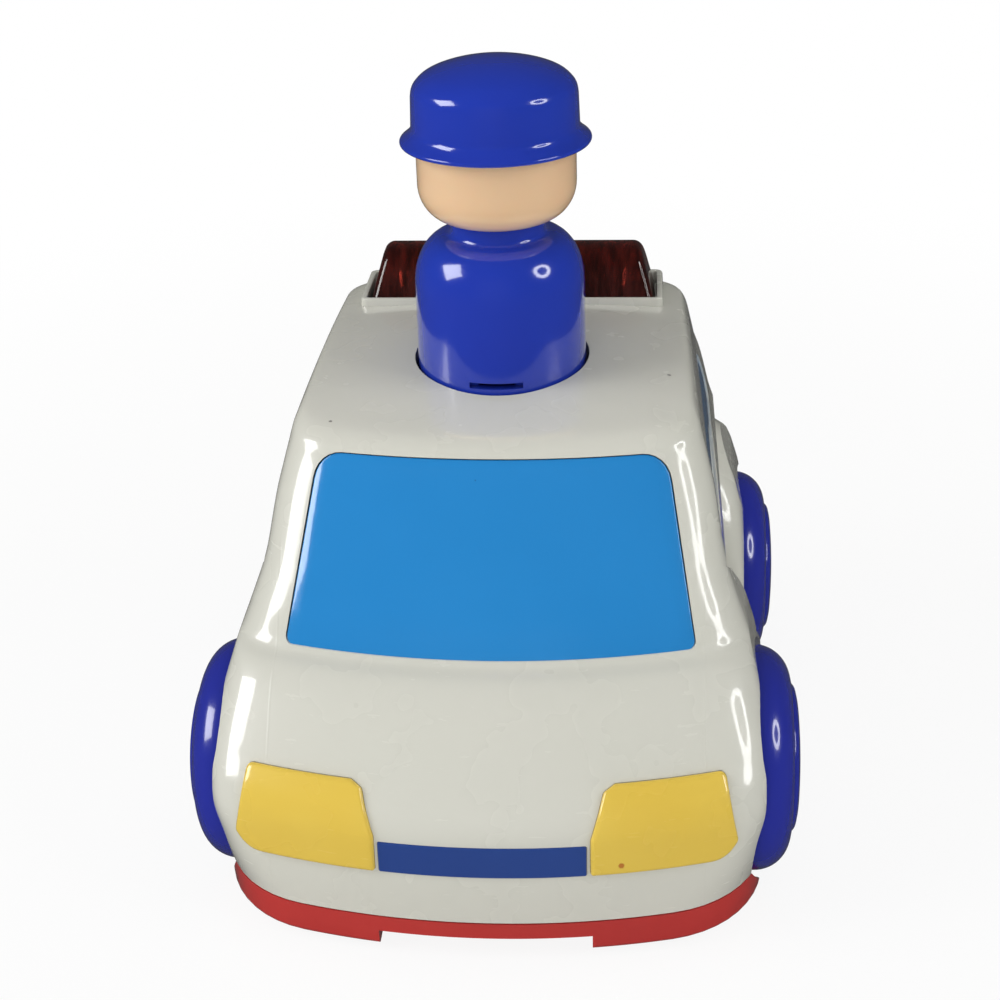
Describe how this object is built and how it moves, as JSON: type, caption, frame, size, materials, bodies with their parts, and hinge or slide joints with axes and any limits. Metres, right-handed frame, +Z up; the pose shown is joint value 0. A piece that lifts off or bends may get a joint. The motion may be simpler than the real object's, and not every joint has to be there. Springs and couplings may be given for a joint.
{
  "type": "press-and-go toy patrol car",
  "caption": "Press-and-go toy patrol car: moulded body on rolling wheels, roof light bar, and a figure that is pressed down to work a rack-and-gear drive.",
  "frame": {"origin": "on the floor under the middle of the car's overall box", "axes": "+Z up, the nose towards -Y, +X towards the viewer's right when facing the nose"},
  "size_m": [0.1144, 0.1342, 0.1428],
  "materials": {
    "white_body": "warm white injection-moulded plastic, glossy, lightly scuffed",
    "red_base": "red injection-moulded plastic, semi-gloss",
    "blue_window": "sky-blue moulded plastic, glossy",
    "navy_strip": "navy moulded plastic, semi-gloss",
    "yellow_lamp": "warm yellow moulded plastic, glossy",
    "smoked_red_lens": "dark smoked red translucent plastic, glossy, ribbed inside",
    "deep_blue_figure": "deep blue moulded plastic, glossy",
    "peach_head": "peach moulded plastic, satin",
    "wheel_blue": "dark blue moulded plastic, glossy",
    "grey_gear": "natural off-white gear plastic, satin",
    "black_gearbox": "black moulded plastic, satin",
    "axle_steel": "bright drawn steel",
    "spring_steel": "bright spring wire"
  },
  "bodies": {
    "car_body": {"body_shell": "white_body", "base_pan": "red_base", "windscreen_pane": "blue_window", "rear_pane": "blue_window", "side_pane_left": "blue_window", "side_pane_right": "blue_window", "nose_strip": "navy_strip", "headlight_left": "yellow_lamp", "headlight_right": "yellow_lamp", "light_bar_lens": "smoked_red_lens", "gearbox_frame": "black_gearbox", "gearbox_cover": "black_gearbox", "base_screw_1": "axle_steel", "base_screw_2": "axle_steel", "base_screw_3": "axle_steel", "base_screw_4": "axle_steel", "gearbox_screw_1": "axle_steel", "gearbox_screw_2": "axle_steel", "return_spring": "spring_steel"},
    "figure": {"figure_torso": "deep_blue_figure", "figure_head": "peach_head", "figure_cap": "deep_blue_figure", "plunger_rack": "grey_gear"},
    "winding_shaft": {"winding_gear": "grey_gear"},
    "clutch_shaft": {"clutch_gear": "grey_gear"},
    "front_wheelset": {"front_axle": "axle_steel", "wheel_front_left": "wheel_blue", "wheel_front_right": "wheel_blue"},
    "rear_wheelset": {"rear_axle": "axle_steel", "axle_gear": "grey_gear", "wheel_rear_left": "wheel_blue", "wheel_rear_right": "wheel_blue"}
  },
  "joints": [
    {"name": "figure_press", "type": "slide", "parent": "car_body", "child": "figure", "axis": [0, 0, 1], "range_m": [-0.017, 0], "stiffness_N_per_m": 220, "springref_m": 0.006, "deforming": ["return_spring"]},
    {"name": "winding_spin", "type": "hinge", "parent": "car_body", "child": "winding_shaft", "pos_m": [0, 0.019, 0.028], "axis": [1, 0, 0], "range_deg": [0, 195]},
    {"name": "clutch_spin", "type": "hinge", "parent": "car_body", "child": "clutch_shaft", "pos_m": [0, 0.03238, 0.03479], "axis": [1, 0, 0], "range_deg": [-390, 0]},
    {"name": "front_wheel_spin", "type": "hinge", "parent": "car_body", "child": "front_wheelset", "pos_m": [0, -0.0325, 0.021], "axis": [1, 0, 0], "continuous": true},
    {"name": "rear_wheel_spin", "type": "hinge", "parent": "car_body", "child": "rear_wheelset", "pos_m": [0, 0.0405, 0.021], "axis": [1, 0, 0], "continuous": true}
  ],
  "couplings": [
    {"joint": "winding_spin", "follows": "figure_press", "rad_per_m": -200},
    {"joint": "clutch_spin", "follows": "figure_press", "rad_per_m": 400}
  ]
}
